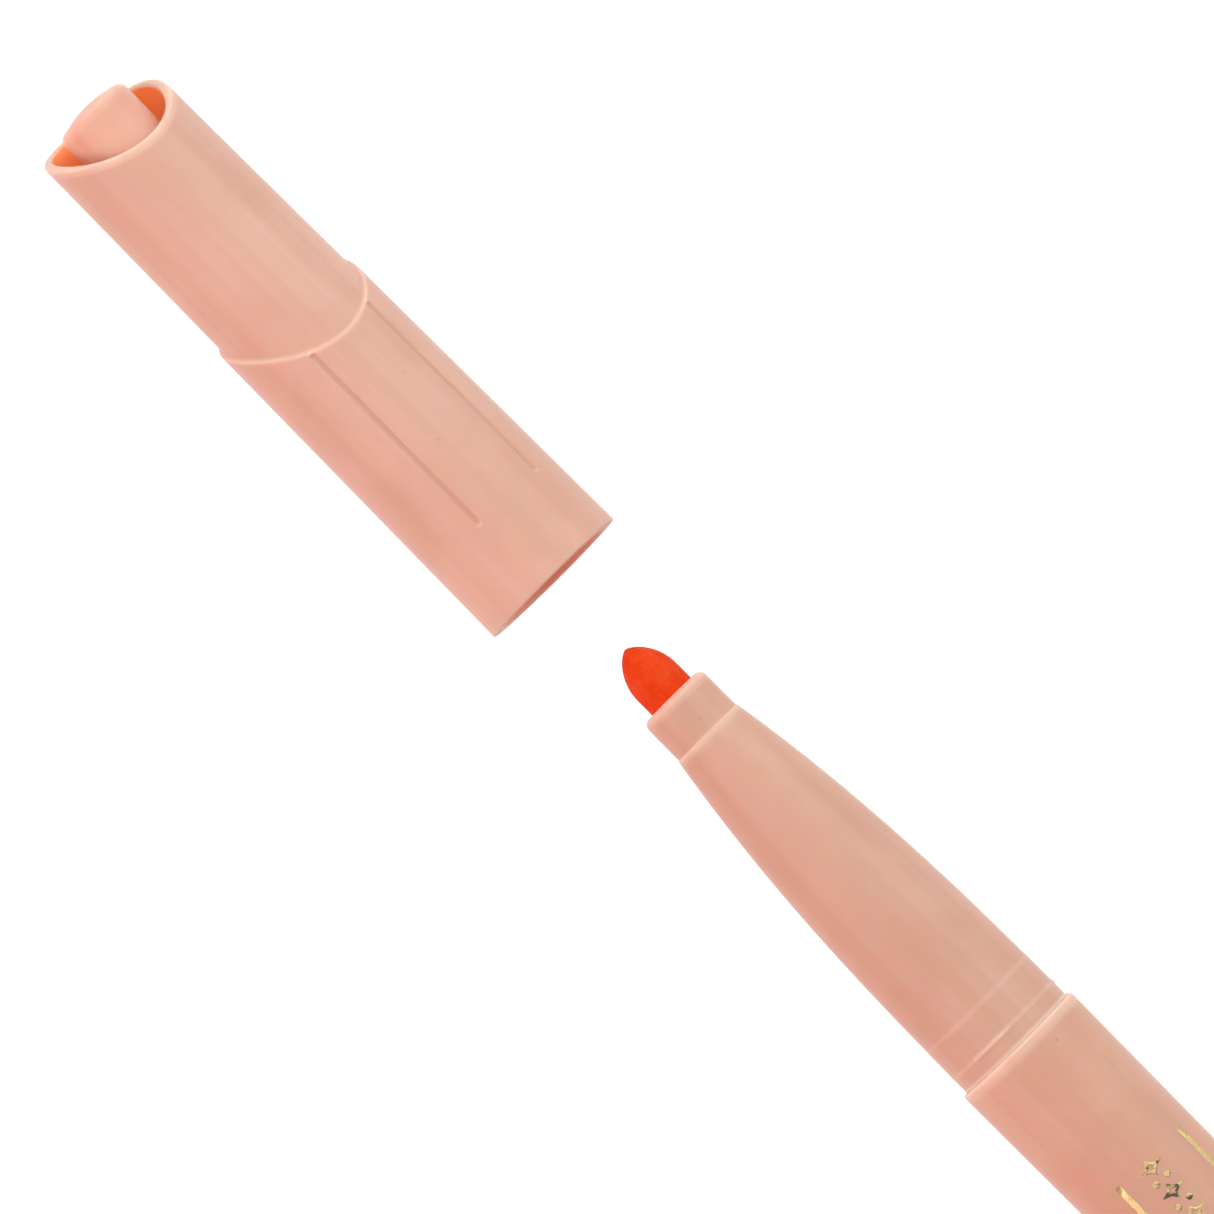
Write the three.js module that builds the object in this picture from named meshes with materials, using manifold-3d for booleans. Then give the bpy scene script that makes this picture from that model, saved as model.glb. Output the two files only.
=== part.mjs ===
// A slim highlighter with its push-on cap lying in line ahead of the nib.
//
// Millimetres, +Z up. The pen lies on its side along X: the tail is at -X, and the nib and
// the cap are at +X. The cap's mouth is the widest part and touches the plane z = 0. The origin is
// the middle of the bounding box's bottom.
//
// Every round piece is drawn on the pen's own axis, as a list of [distance along the axis, radius].
// Pen pieces measure that distance from the barrel's lip, where the cap stops, towards the nib.
// Cap pieces measure it from the cap's mouth towards the cap's open top.

import * as THREE from 'three';
import { mergeVertices } from 'three/addons/utils/BufferGeometryUtils.js';
import Module from 'manifold-3d';

const wasm = await Module();
wasm.setup();

// ---------------------------------------------------------------- driving dimensions

const SIDES = 32;                    // flats round each turned piece; one flat faces down
const RUNNING_GAP = 0.1;             // radial or axial gap between pieces that meet
const WALL = 0.75;                   // usual thickness of the moulded tubes

const CAP_LENGTH = 51.6;             // mouth to the highest point of the open top
const CAP_MOUTH_RADIUS = 6.5;
const CAP_DRAFT = Math.tan(THREE.MathUtils.degToRad(0.53));
const CAP_STEP = 0.33;               // radial step at the shoulder
const CAP_BORE_RADIUS = 5.62;        // at the mouth, over the section's snap bead
const CAP_BORE_LAND = 2.8;           // depth of the mouth's cylindrical stretch
const CAP_SNAP_LIP = 0.04;           // the bore closes in behind the snap bead
const CAP_MOUTH_CHAMFER = 0.15;
const CAP_FRONT_ANGLE = 20;          // the cap's low side: degrees from +Z towards -Y

// An oblique cut is lowest at the cap's front. Across the cap it follows
// height - tilt * v - bow * v * v, where v is 1 at the front wall of the given radius, 0 at
// the sides and -1 at the back.
const RIM = { radius: 5.7, height: 49.71, tilt: 2.73, bow: 0.94 };
const SHOULDER = { radius: 6.25, height: 29.57, tilt: 3.56, bow: 1.24 };

const GROOVE_ANGLES = [-30.4, 30.4]; // degrees from the cap's front
const GROOVE_WIDTH = 0.5;
const GROOVE_DEPTH = 0.15;
const GROOVE_START = 6.8;            // from the mouth
const GROOVE_LAND = 0.5;             // left uncut below the shoulder

const LINER_RADIUS = 3.34;
const LINER_BORE_RADIUS = 2.9;
const LINER_START = 34.2;            // open end of the liner, from the mouth
const LINER_SEAL_LENGTH = 4.1;       // the wide stretch that seals over the collar
const LINER_EDGE = 0.65;             // round of the closed end
const LINER_DOME = 0.4;              // the closed end's middle stands this far over its edge
const LINER_END_THICKNESS = 1;
const LINER_LEAD_IN = 0.4;           // chamfer that guides the collar in
const FLANGE_THICKNESS = 1.8;
const FLANGE_RADIUS = 5.18;
const FLANGE_OVERLAP = 0.13;         // how far the shell's seat reaches over the flange
const VENT_COUNT = 4;
const VENT_WIDTH = 2.2;
const VENT_DEPTH = 1.1;

const NIB_RADIUS = 2.1;
const NIB_EXPOSED = 5.14;
const NIB_LENGTH = 35;
const NIB_POINT_LENGTH = 3.5;
const NIB_POINT_FULLNESS = 0.7;      // 1 is a parabola, smaller is blunter
const NIB_TAIL_CHAMFER = 0.4;
const NIB_GAP_TO_CAP = 7.8;          // nib tip to cap mouth, as the pieces lie

const SECTION_LENGTH = 37.8;         // barrel lip to the collar's front
const SECTION_REAR_RADIUS = 5.39;
const SECTION_NOSE_RADIUS = 3.19;
const SECTION_CURVE = 2.55;          // exponent of the grip's ogive
const COLLAR_LENGTH = 3.9;
const COLLAR_RADIUS = 3.1;
const COLLAR_EDGE = 0.65;
const BEAD_PLACE = 1.47;             // snap bead, from the lip
const BEAD_WIDTH = 0.85;
const BEAD_TOP = 0.2;                // width of the bead's flat top
const BEAD_HEIGHT = 0.11;
const NIB_SEAT_LENGTH = 10.8;        // bore that grips the nib
const NIB_SEAT_ROOM = 0.5;           // the hollow behind the seat is this much wider
const AIR_CHANNEL = { count: 4, width: 0.7, depth: 0.45, frontLand: 1.5 };   // beside the nib
const GRIP_HOLLOW = { along: 20, radius: 3.5 };
const PLUG_LENGTH = 10;
const PLUG_RADIUS = 4.95;
const PLUG_LEAD_IN = { length: 1, depth: 0.3 };

const BARREL_LENGTH = 86.3;
const BARREL_RADIUS = 5.79;          // at the lip
const BARREL_DRAFT = Math.tan(THREE.MathUtils.degToRad(0.36));
const BARREL_LIP_CHAMFER = 0.35;
const BARREL_TAIL_EDGE = 1.2;
const BARREL_STOP = { length: 1, depth: 0.35 };   // step in the bore behind the plug
const TAIL_THICKNESS = 1.2;
const TAIL_RIB_LENGTH = 4;
const TAIL_RIB_THICKNESS = 0.8;

const CORE_RADIUS = 3.85;
const CORE_FRONT = 12.2;             // from the lip, inside the section
const CORE_LENGTH = 92;
const SLEEVE_THICKNESS = 0.2;
const SLEEVE_INSET = 0.3;            // the sleeve stops short of the core's ends
const CORE_STOP_DEPTH = 0.5;         // step in the section that stops the core

// ---------------------------------------------------------------- colours

const PLASTIC = { color: 0xe2b097, roughness: 0.42, metalness: 0 };
const LINER_PLASTIC = { color: 0xe8b8a0, roughness: 0.5, metalness: 0 };
const FELT = { color: 0xe04416, roughness: 0.9, metalness: 0 };
const INKED_FIBRE = { color: 0xe8603a, roughness: 0.95, metalness: 0 };
const CLEAR_FILM = { color: 0xf1ece6, roughness: 0.3, metalness: 0 };

// ---------------------------------------------------------------- solids

// A closed solid from any closed three.js geometry.
function solidFrom(geometry) {
  const bare = geometry.clone();
  bare.deleteAttribute('normal');
  bare.deleteAttribute('uv');
  const merged = mergeVertices(bare, 1e-4);
  const index = merged.index.array;
  const corners = [];
  for (let i = 0; i < index.length; i += 3) {
    const [a, b, c] = [index[i], index[i + 1], index[i + 2]];
    if (a !== b && b !== c && c !== a) corners.push(a, b, c);
  }
  return new wasm.Manifold(new wasm.Mesh({
    numProp: 3,
    vertProperties: new Float32Array(merged.attributes.position.array),
    triVerts: new Uint32Array(corners),
  }));
}

function geometryFrom(solid) {
  const mesh = solid.getMesh();
  const geometry = new THREE.BufferGeometry();
  geometry.setAttribute('position', new THREE.BufferAttribute(mesh.vertProperties, mesh.numProp));
  geometry.setIndex(new THREE.BufferAttribute(mesh.triVerts, 1));
  geometry.computeVertexNormals();
  return geometry;
}

// Turns an outline of [distance, radius] pairs about the X axis. Radii are measured to the
// middle of each flat, so the flats touch the true circle. The outline runs towards +X along
// its outer wall, and starts and ends on the axis or closes on itself.
function turned(outline) {
  const toCorner = 1 / Math.cos(Math.PI / SIDES);
  const points = outline.map(([along, radius]) => new THREE.Vector2(radius * toCorner, along));
  const lathe = new THREE.LatheGeometry(points, SIDES, Math.PI / SIDES);
  return solidFrom(lathe.rotateZ(-Math.PI / 2));
}

function moved(geometry, x, y, z) {
  return solidFrom(geometry.translate(x, y, z));
}

// A quarter round of an outline, from angle start to angle end about its centre, in degrees.
function rounded(along, radius, size, start, end, steps = 4) {
  const points = [];
  for (let i = 0; i <= steps; i += 1) {
    const angle = THREE.MathUtils.degToRad(start + ((end - start) * i) / steps);
    points.push([along + size * Math.cos(angle), radius + size * Math.sin(angle)]);
  }
  return points;
}

// A point beside the pen's axis: angle in degrees from +Z towards -Y.
function aroundAxis(along, radius, angle) {
  const turn = THREE.MathUtils.degToRad(angle);
  return new THREE.Vector3(along, -radius * Math.sin(turn), radius * Math.cos(turn));
}

// ---------------------------------------------------------------- cap

function sleeveRadius(along) {
  return CAP_MOUTH_RADIUS - CAP_DRAFT * along;
}

function upperRadius(along) {
  return sleeveRadius(along) - CAP_STEP;
}

function cutHeight(cut, v) {
  return cut.height - cut.tilt * v - cut.bow * v * v;
}

// Everything beyond an oblique cut: a block whose underside is the cut's curve.
function beyondCut(cut) {
  const reach = 1.4;
  const half = reach * cut.radius;
  const above = CAP_LENGTH + cut.radius;
  const outline = new THREE.Shape();
  outline.moveTo(-half, cutHeight(cut, -reach));
  outline.quadraticCurveTo(0, cut.height + cut.bow * reach * reach, half, cutHeight(cut, reach));
  outline.lineTo(half, above);
  outline.lineTo(-half, above);
  const block = new THREE.ExtrudeGeometry(outline, {
    depth: 2 * half, bevelEnabled: false, curveSegments: 12,
  });
  block.translate(0, 0, -half);
  const front = aroundAxis(0, 1, CAP_FRONT_ANGLE);
  const alongAxis = new THREE.Vector3(1, 0, 0);
  const across = new THREE.Vector3().crossVectors(front, alongAxis);
  block.applyMatrix4(new THREE.Matrix4().makeBasis(front, alongAxis, across));
  return solidFrom(block);
}

// A round-ended bar that engraves one line along the sleeve.
function grooveCutter(fromFront) {
  const v = Math.cos(THREE.MathUtils.degToRad(fromFront));
  const end = cutHeight(SHOULDER, v) - GROOVE_LAND;
  const length = end - GROOVE_START;
  const middle = (end + GROOVE_START) / 2;
  const barRadius = (GROOVE_WIDTH * GROOVE_WIDTH) / (8 * GROOVE_DEPTH) + GROOVE_DEPTH / 2;
  const bar = new THREE.CapsuleGeometry(barRadius, length - 2 * barRadius, 4, 12);
  bar.rotateZ(-Math.PI / 2);
  bar.rotateY(Math.atan(CAP_DRAFT));
  bar.translate(0, 0, sleeveRadius(middle) + barRadius - GROOVE_DEPTH);
  bar.rotateX(THREE.MathUtils.degToRad(CAP_FRONT_ANGLE + fromFront));
  return moved(bar, middle, 0, 0);
}

function capShell() {
  const seat = LINER_START + FLANGE_THICKNESS + RUNNING_GAP;
  const pastEnd = 1;
  const beyond = CAP_LENGTH + pastEnd;
  const seatRadius = FLANGE_RADIUS - FLANGE_OVERLAP;
  const flangeBore = FLANGE_RADIUS + RUNNING_GAP;
  const sleeve = turned([
    [0, 0],
    [0, CAP_MOUTH_RADIUS - CAP_MOUTH_CHAMFER],
    [CAP_MOUTH_CHAMFER, sleeveRadius(CAP_MOUTH_CHAMFER)],
    [seat, sleeveRadius(seat)],
    [seat, 0],
  ]);
  const tube = turned([
    [pastEnd, 0],
    [pastEnd, upperRadius(pastEnd)],
    [beyond, upperRadius(beyond)],
    [beyond, 0],
  ]);
  const bore = turned([
    [-pastEnd, 0],
    [-pastEnd, CAP_BORE_RADIUS],
    [CAP_BORE_LAND, CAP_BORE_RADIUS],
    [CAP_BORE_LAND + CAP_MOUTH_CHAMFER, CAP_BORE_RADIUS - CAP_SNAP_LIP],
    [LINER_START - FLANGE_THICKNESS, flangeBore],
    [seat, flangeBore],
    [seat, seatRadius],
    [beyond + pastEnd, seatRadius],
    [beyond + pastEnd, 0],
  ]);
  let shell = sleeve.subtract(beyondCut(SHOULDER)).add(tube);
  for (const angle of GROOVE_ANGLES) shell = shell.subtract(grooveCutter(angle));
  return shell.subtract(bore).subtract(beyondCut(RIM));
}

function capLiner() {
  const sealEnd = LINER_START + LINER_SEAL_LENGTH;
  const sealBore = COLLAR_RADIUS + RUNNING_GAP;
  const sealOuter = sealBore + WALL;
  const flangeEnd = LINER_START + FLANGE_THICKNESS;
  const domeRadius = LINER_RADIUS - LINER_EDGE;
  const dome = [2 / 3, 1 / 3, 0].map((out) => [CAP_LENGTH - LINER_DOME * out * out, domeRadius * out]);
  const liner = turned([
    [CAP_LENGTH - LINER_END_THICKNESS, 0],
    [CAP_LENGTH - LINER_END_THICKNESS, LINER_BORE_RADIUS],
    [sealEnd, LINER_BORE_RADIUS],
    [sealEnd, sealBore],
    [LINER_START + LINER_LEAD_IN, sealBore],
    [LINER_START, sealBore + LINER_LEAD_IN],
    [LINER_START, FLANGE_RADIUS],
    [flangeEnd, FLANGE_RADIUS],
    [flangeEnd, sealOuter],
    [sealEnd, sealOuter],
    [sealEnd + LINER_END_THICKNESS, LINER_RADIUS],
    ...rounded(CAP_LENGTH - LINER_DOME - LINER_EDGE, domeRadius, LINER_EDGE, 90, 0),
    ...dome,
  ]);
  let vented = liner;
  for (let i = 0; i < VENT_COUNT; i += 1) {
    const vent = new THREE.BoxGeometry(2 * FLANGE_THICKNESS, VENT_WIDTH, 2 * VENT_DEPTH);
    vent.translate(LINER_START + FLANGE_THICKNESS / 2, 0, FLANGE_RADIUS);
    vent.rotateX((2 * Math.PI * i) / VENT_COUNT);
    vented = vented.subtract(solidFrom(vent));
  }
  return vented;
}

// ---------------------------------------------------------------- pen

function nib() {
  const tip = SECTION_LENGTH + NIB_EXPOSED;
  const tail = tip - NIB_LENGTH;
  const outline = [
    [tail, 0],
    [tail, NIB_RADIUS - NIB_TAIL_CHAMFER],
    [tail + NIB_TAIL_CHAMFER, NIB_RADIUS],
  ];
  const steps = 10;
  for (let i = 0; i <= steps; i += 1) {
    const toTip = 1 - i / steps;
    const rise = 1 - (1 - toTip) ** 2;
    outline.push([tip - NIB_POINT_LENGTH * toTip, NIB_RADIUS * rise ** NIB_POINT_FULLNESS]);
  }
  return turned(outline);
}

function gripRadius(along) {
  const noseStart = SECTION_LENGTH - COLLAR_LENGTH;
  const fall = (along / noseStart) ** SECTION_CURVE;
  return SECTION_REAR_RADIUS - (SECTION_REAR_RADIUS - SECTION_NOSE_RADIUS) * fall;
}

// Slots in the wall of the nib's seat let air past the nib as the ink flows out.
function withAirChannels(section, seatStart) {
  const start = seatStart - NIB_SEAT_ROOM;
  const end = SECTION_LENGTH - AIR_CHANNEL.frontLand;
  const height = 2 * (NIB_RADIUS + RUNNING_GAP + AIR_CHANNEL.depth);
  let slotted = section;
  for (let i = 0; i < AIR_CHANNEL.count / 2; i += 1) {
    const slot = new THREE.BoxGeometry(end - start, AIR_CHANNEL.width, height);
    slot.translate((start + end) / 2, 0, 0);
    slot.rotateX((2 * Math.PI * i) / AIR_CHANNEL.count);
    slotted = slotted.subtract(solidFrom(slot));
  }
  return slotted;
}

function frontSection() {
  const noseStart = SECTION_LENGTH - COLLAR_LENGTH;
  const nibBore = NIB_RADIUS + RUNNING_GAP;
  const coreBore = CORE_RADIUS + SLEEVE_THICKNESS + 2 * RUNNING_GAP;
  const nibSeatEnd = SECTION_LENGTH - NIB_SEAT_LENGTH;
  const coreStop = CORE_FRONT + SLEEVE_INSET;
  const grip = [];
  const gripStart = BEAD_PLACE + BEAD_WIDTH;
  const steps = 12;
  for (let i = 0; i <= steps; i += 1) {
    const along = gripStart + ((noseStart - gripStart) * i) / steps;
    grip.push([along, gripRadius(along)]);
  }
  const section = turned([
    [-PLUG_LENGTH, coreBore],
    [-PLUG_LENGTH, PLUG_RADIUS - PLUG_LEAD_IN.depth],
    [-PLUG_LENGTH + PLUG_LEAD_IN.length, PLUG_RADIUS],
    [RUNNING_GAP, PLUG_RADIUS],
    [RUNNING_GAP, SECTION_REAR_RADIUS],
    [BEAD_PLACE - BEAD_WIDTH / 2, SECTION_REAR_RADIUS],
    [BEAD_PLACE - BEAD_TOP / 2, SECTION_REAR_RADIUS + BEAD_HEIGHT],
    [BEAD_PLACE + BEAD_TOP / 2, SECTION_REAR_RADIUS + BEAD_HEIGHT],
    [BEAD_PLACE + BEAD_WIDTH / 2, SECTION_REAR_RADIUS],
    ...grip,
    [noseStart + RUNNING_GAP, COLLAR_RADIUS],
    ...rounded(SECTION_LENGTH - COLLAR_EDGE, COLLAR_RADIUS - COLLAR_EDGE, COLLAR_EDGE, 90, 0),
    [SECTION_LENGTH, nibBore],
    [nibSeatEnd, nibBore],
    [nibSeatEnd - NIB_SEAT_ROOM, nibBore + NIB_SEAT_ROOM],
    [GRIP_HOLLOW.along, GRIP_HOLLOW.radius],
    [coreStop, coreBore - CORE_STOP_DEPTH],
    [coreStop, coreBore],
    [-PLUG_LENGTH, coreBore],
  ]);
  return withAirChannels(section, nibSeatEnd);
}

function barrel() {
  const tailRadius = BARREL_RADIUS - BARREL_DRAFT * BARREL_LENGTH;
  const plugBore = PLUG_RADIUS + RUNNING_GAP;
  const coreBore = CORE_RADIUS + SLEEVE_THICKNESS + 3 * RUNNING_GAP;
  const floor = -BARREL_LENGTH + TAIL_THICKNESS;
  const edge = BARREL_TAIL_EDGE;
  const stop = -PLUG_LENGTH - BARREL_STOP.length;
  const tube = turned([
    [-BARREL_LENGTH, 0],
    ...rounded(-BARREL_LENGTH + edge, tailRadius - edge, edge, 180, 90),
    [-BARREL_LIP_CHAMFER, BARREL_RADIUS],
    [0, BARREL_RADIUS - BARREL_LIP_CHAMFER],
    [0, plugBore],
    [stop, plugBore],
    [stop - BARREL_STOP.length, plugBore - BARREL_STOP.depth],
    [floor, coreBore],
    [floor, 0],
  ]);
  let ribbed = tube;
  const rooted = TAIL_RIB_THICKNESS / 4;
  for (const turn of [0, Math.PI / 2]) {
    const rib = new THREE.BoxGeometry(TAIL_RIB_LENGTH, 2 * (coreBore + rooted), TAIL_RIB_THICKNESS);
    rib.translate(floor + TAIL_RIB_LENGTH / 2 - rooted, 0, 0);
    rib.rotateX(turn);
    ribbed = ribbed.add(solidFrom(rib));
  }
  return ribbed;
}

function inkCore() {
  const nibTail = SECTION_LENGTH + NIB_EXPOSED - NIB_LENGTH;
  const pocketFloor = nibTail - RUNNING_GAP;
  const pocketRadius = NIB_RADIUS + RUNNING_GAP;
  return turned([
    [CORE_FRONT - CORE_LENGTH, 0],
    [CORE_FRONT - CORE_LENGTH, CORE_RADIUS],
    [CORE_FRONT, CORE_RADIUS],
    [CORE_FRONT, pocketRadius],
    [pocketFloor, pocketRadius],
    [pocketFloor, 0],
  ]);
}

function coreSleeve() {
  const inner = CORE_RADIUS + RUNNING_GAP / 2;
  const outer = inner + SLEEVE_THICKNESS;
  const front = CORE_FRONT - SLEEVE_INSET;
  const rear = CORE_FRONT - CORE_LENGTH + SLEEVE_INSET;
  return turned([
    [rear, inner],
    [rear, outer],
    [front, outer],
    [front, inner],
    [rear, inner],
  ]);
}

// ---------------------------------------------------------------- assembly

function piece(name, solid, finish) {
  const mesh = new THREE.Mesh(geometryFrom(solid), new THREE.MeshStandardMaterial(finish));
  mesh.name = name;
  return mesh;
}

const mouthFromLip = SECTION_LENGTH + NIB_EXPOSED + NIB_GAP_TO_CAP;
const middleFromLip = (mouthFromLip + CAP_LENGTH - BARREL_LENGTH) / 2;

const pen = new THREE.Group();
pen.position.set(-middleFromLip, 0, CAP_MOUTH_RADIUS);
pen.add(piece('barrel', barrel(), PLASTIC));
pen.add(piece('front_section', frontSection(), PLASTIC));
pen.add(piece('nib', nib(), FELT));
pen.add(piece('ink_core', inkCore(), INKED_FIBRE));
pen.add(piece('core_sleeve', coreSleeve(), CLEAR_FILM));

const cap = new THREE.Group();
cap.position.set(mouthFromLip - middleFromLip, 0, CAP_MOUTH_RADIUS);
cap.add(piece('cap_shell', capShell(), PLASTIC));
cap.add(piece('cap_liner', capLiner(), LINER_PLASTIC));

const highlighter = new THREE.Group();
highlighter.add(pen, cap);

export default highlighter;
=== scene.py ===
import math

import bmesh
import bpy
import numpy as np
from mathutils import Matrix, Vector


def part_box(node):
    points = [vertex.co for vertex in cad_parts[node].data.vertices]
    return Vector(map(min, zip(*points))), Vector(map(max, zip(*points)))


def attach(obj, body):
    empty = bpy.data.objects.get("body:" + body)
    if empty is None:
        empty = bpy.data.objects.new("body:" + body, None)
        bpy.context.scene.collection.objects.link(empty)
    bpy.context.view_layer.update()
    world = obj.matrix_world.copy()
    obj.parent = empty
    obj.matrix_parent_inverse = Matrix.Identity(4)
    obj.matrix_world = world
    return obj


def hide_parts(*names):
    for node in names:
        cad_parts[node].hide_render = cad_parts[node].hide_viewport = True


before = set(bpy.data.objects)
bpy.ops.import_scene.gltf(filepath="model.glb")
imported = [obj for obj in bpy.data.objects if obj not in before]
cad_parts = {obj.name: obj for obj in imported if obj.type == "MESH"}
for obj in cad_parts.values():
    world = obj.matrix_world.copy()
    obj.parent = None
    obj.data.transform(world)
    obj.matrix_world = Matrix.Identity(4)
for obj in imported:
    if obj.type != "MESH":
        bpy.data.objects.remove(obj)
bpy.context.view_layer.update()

# A slim highlighter with its cap pulled off. Smooth moulded shells, a felt nib, the ink core and the
# foil print take the place of the faceted CAD nodes. Lengths are in millimetres, and MM turns them to
# metres. "Along" is measured on the pen's axis: from the barrel's lip for the pen, and from the mouth
# for the cap, both towards +X. Angles go round the axis in degrees, from +Z towards -Y.

MM = 0.001

# ---------------------------------------------------------------- places from the frame


def low(node):
    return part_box(node)[0] / MM


def high(node):
    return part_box(node)[1] / MM


def half_width(node):
    return (high(node).y - low(node).y) / 2


AXIS_HEIGHT = (high("cap_shell").z + low("cap_shell").z) / 2
LIP = high("barrel").x
MOUTH = low("cap_shell").x
GAP = 0.1                               # between the CAD pieces that meet

# ---------------------------------------------------------------- cap dimensions

CAP_MOUTH_RADIUS = half_width("cap_shell")
CAP_LENGTH = high("cap_liner").x - MOUTH
CAP_DRAFT = math.tan(math.radians(0.53))
CAP_STEP = 0.33                         # radial step at the shoulder
CAP_BORE_RADIUS = 5.62
CAP_BORE_LAND = 2.8                     # depth of the mouth's cylindrical stretch
CAP_SNAP_LIP = 0.04
CAP_SNAP_RUN = 0.2                      # length over which the snap lip rises
CAP_FRONT_ANGLE = 20                    # the cap's low side
CAP_EDGE = 0.12                         # round of the mouth's outer edge
CAP_BORE_EDGE = 0.15                    # round of the mouth's inner edge
RIM_EDGE = 0.3                          # round of the open top's edges
SHOULDER_RUN = 0.6                      # length over which the shoulder steps down
SHOULDER_FOOT = 0.4                     # plain stretch above it
SLEEVE_STRAIGHT = 12.0                  # up to here the rows of points are square to the axis
CUT_MARGIN = 1.0                        # rows this close to an oblique cut follow it fully
FINE_REACH = 1.0                        # rows are closer this far from a groove's end

# An oblique cut follows height - tilt * v - bow * v * v, where v is 1 at the cap's front.
RIM = {"height": 49.71, "tilt": 2.73, "bow": 0.94}
SHOULDER = {"height": 29.57, "tilt": 3.56, "bow": 1.24}

GROOVE_ANGLES = (-30.4, 30.4)           # from the cap's front
GROOVE_WIDTH = 0.6
GROOVE_DEPTH = 0.13
GROOVE_START = 6.8
GROOVE_LAND = 0.45                      # left uncut below the shoulder
GROOVE_FLAT = 0.25                      # the flat bottom, as a share of the half width
GROOVE_SLOPE = 0.95                     # and the slope beside it
GROOVE_FAN = np.linspace(-5, 5, 41)     # closer angles across a groove

# Faint raised lines near the mouth, where the mould's inserts meet: (angle, start, end). They fade
# out over the last millimetre.
WITNESS_LINES = ((21, 3.2, 9.4), (-38.5, 0.5, 9.4))
WITNESS_HEIGHT = 0.025
WITNESS_WIDTH = 0.3

LINER_START = low("cap_liner").x - MOUTH
LINER_RADIUS = 3.34
LINER_BORE_RADIUS = 2.9
LINER_SEAL_LENGTH = 4.1
LINER_WALL = 0.75
LINER_EDGE = 0.65
LINER_DOME = 0.4
LINER_END_THICKNESS = 1.0
LINER_LEAD_IN = 0.4
LINER_FILLET = 0.2
FLANGE_RADIUS = half_width("cap_liner")
FLANGE_THICKNESS = 1.8
FLANGE_OVERLAP = 0.13
FLANGE_EDGE = 0.15
VENT_COUNT = 4
VENT_WIDTH = 2.2
VENT_DEPTH = 1.1

# ---------------------------------------------------------------- pen dimensions

SECTION_LENGTH = high("front_section").x - LIP
SECTION_REAR_RADIUS = 5.39
SECTION_NOSE_RADIUS = 3.19
SECTION_CURVE = 2.55                    # exponent of the grip's ogive
COLLAR_LENGTH = 3.9
COLLAR_RADIUS = 3.1
COLLAR_EDGE = 0.65
COLLAR_STEP_RUN = 0.1                   # length of the small step from the grip down to the collar
COLLAR_STEP_MIDDLE = 0.04               # its half height is this far from the collar
PLUG_LENGTH = LIP - low("front_section").x
PLUG_RADIUS = 4.95
PLUG_EDGE = 0.3

BEAD_PLACE = 1.47
BEAD_WIDTH = 0.7
BEAD_HEIGHT = 0.03
LUG_HEIGHT = 0.05                       # the lugs stand this far over the low bead
LUG_ANGLE = -15.2
LUG_HALF_SPAN = 21.4
LUG_FADE = 3.0                          # degrees over which a lug ends
LUG_COUNT = 3
RING_PLACE = 4.4                        # a fine step, where the mould's core begins
RING_STEP = 0.02
RING_RUN = 0.15
GRIP_FINE_END = RING_PLACE + 0.5        # the grip's rows of points are closer up to here
GRIP_SPACING = 0.35

NIB_RADIUS = half_width("nib")
NIB_TIP = high("nib").x - LIP
NIB_TAIL = low("nib").x - LIP
NIB_POINT_LENGTH = 3.5
NIB_POINT_FULLNESS = 0.7
NIB_POINT_ROWS = 60
NIB_ROW_CROWDING = 1.5                  # above 1 the rows get closer towards the tip
NIB_TAIL_CHAMFER = 0.4
NIB_SEAT_START = SECTION_LENGTH - 10.8
NIB_SEAT_ROOM = 0.5
AIR_CHANNEL = {"count": 4, "width": 0.7, "depth": 0.45, "front_land": 1.5}
GRIP_HOLLOW = (20.0, 3.5)               # a point of the hollow behind the nib's seat
CORE_STOP = {"gap": 0.3, "depth": 0.5}  # the step that holds the ink core back

BARREL_LENGTH = LIP - low("barrel").x
BARREL_RADIUS = half_width("barrel")
BARREL_DRAFT = math.tan(math.radians(0.36))
BARREL_LIP_EDGE = 0.3
BARREL_TAIL_EDGE = 1.2
BARREL_BORE_CHAMFER = 0.08
BARREL_FLOOR_EDGE = 0.3
TAIL_THICKNESS = 1.2
TAIL_RIB_LENGTH = 4.0
TAIL_RIB_THICKNESS = 0.8
BORE_STEP = {"start": -11.0, "end": -12.0, "depth": 0.35}

CORE_RADIUS = half_width("ink_core")
CORE_FRONT = high("ink_core").x - LIP
CORE_REAR = low("ink_core").x - LIP
CORE_EDGE = 0.3
SLEEVE_RADIUS = half_width("core_sleeve")
SLEEVE_FRONT = high("core_sleeve").x - LIP
SLEEVE_REAR = low("core_sleeve").x - LIP
SLEEVE_THICKNESS = 0.2

PRINT_START = -13.0                     # the foil begins this far behind the lip
STRIPE_ANGLES = (48.9, -23.7)
STRIPE_LENGTH = 52.0
STRIPE_WIDTH = 0.58
ORNAMENT_ANGLE = 6.0
ORNAMENT_COUNT = 17
ORNAMENT_PITCH = 2.4
LOZENGE = (1.5, 2.3)                    # along and across
LOZENGE_HEART = 0.42                    # size of its open middle, as a share
LOZENGE_HOLLOW = 0.35                   # how far its sides curve in, as a share
DOT_RADIUS = 0.27
DOT_SPREAD = 0.62
FOIL_HEIGHT = 0.02
FOIL_ROOT = 0.02                        # the foil's edge reaches this far into the barrel
FOIL_BEVEL = 0.04                       # share of a mark over which the foil rises at its outline
FOIL_HEART_BEVEL = 0.03                 # and the share of its open middle over which it falls
FOIL_ROWS = 5
FOIL_CENTRE = 0.02                      # a filled mark is closed by a face of this share

# ---------------------------------------------------------------- turned meshes

INWARD = -0.8                           # a bore's faces look at the axis at least this directly
ROUND = np.linspace(0, 360, 240, endpoint=False)
# The pale tone near convex edges is a painted highlight.
EDGE_REACH = 0.34                       # how far from an edge its pale tone is seen
EDGE_TURN = 45.0                        # an edge that turns by this many degrees is fully pale

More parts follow.
